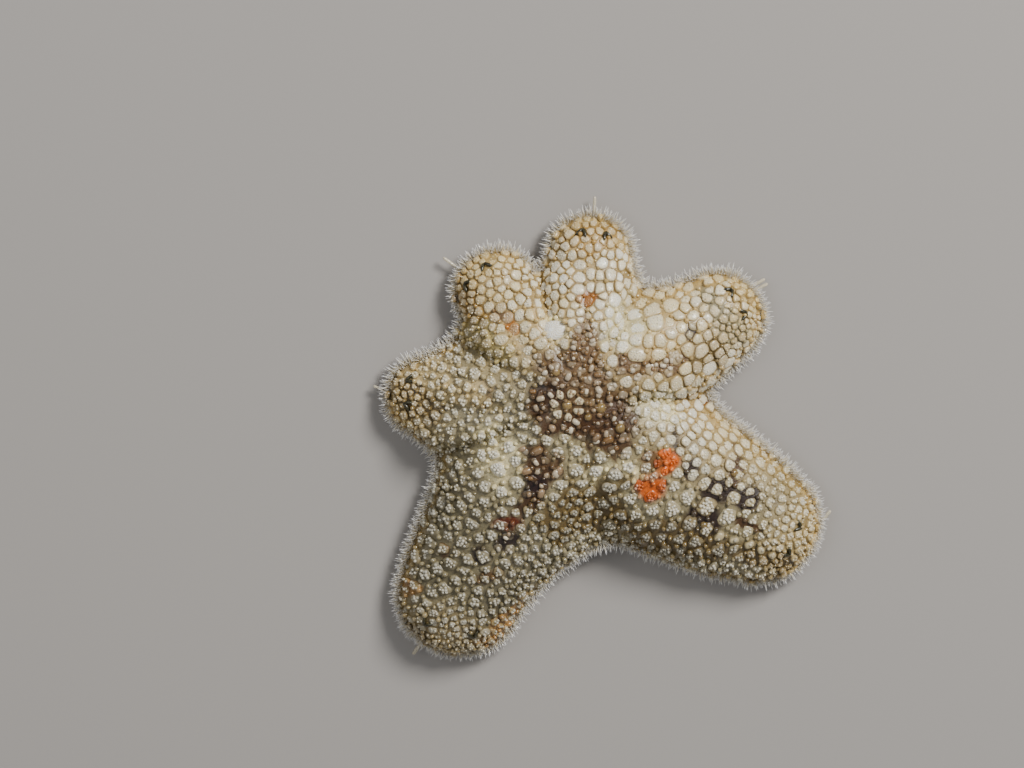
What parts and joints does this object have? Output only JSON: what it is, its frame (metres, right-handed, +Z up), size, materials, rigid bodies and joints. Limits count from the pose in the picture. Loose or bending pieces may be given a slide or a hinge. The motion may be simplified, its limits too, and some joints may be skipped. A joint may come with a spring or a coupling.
{
  "type": "cushion star",
  "caption": "Small sea star resting on its oral side, with long old arms, short regrown arms, raised plates with spinelets, a fringe of edge spines and furrows of tube feet.",
  "frame": {"origin": "middle of the whole star's box in plan, on the floor it rests on", "axes": "+Z up, away from the oral side; +Y towards the short regrown arms; +X to the right in the picture's view"},
  "size_m": [0.0226, 0.0239, 0.0047],
  "materials": {
    "skin": "moist, cream plates on beige to olive and brown skin",
    "sieve_plate": "chalky cream white",
    "jaws": "moist cream"
  },
  "bodies": {
    "root": {"disc": "skin", "arm_upper_right": "skin", "arm_top": "skin", "arm_upper_left": "skin", "arm_left": "skin", "arm_lower_left": "skin", "arm_lower_right": "skin", "sieve_plate": "sieve_plate", "jaws": "jaws"}
  },
  "joints": []
}
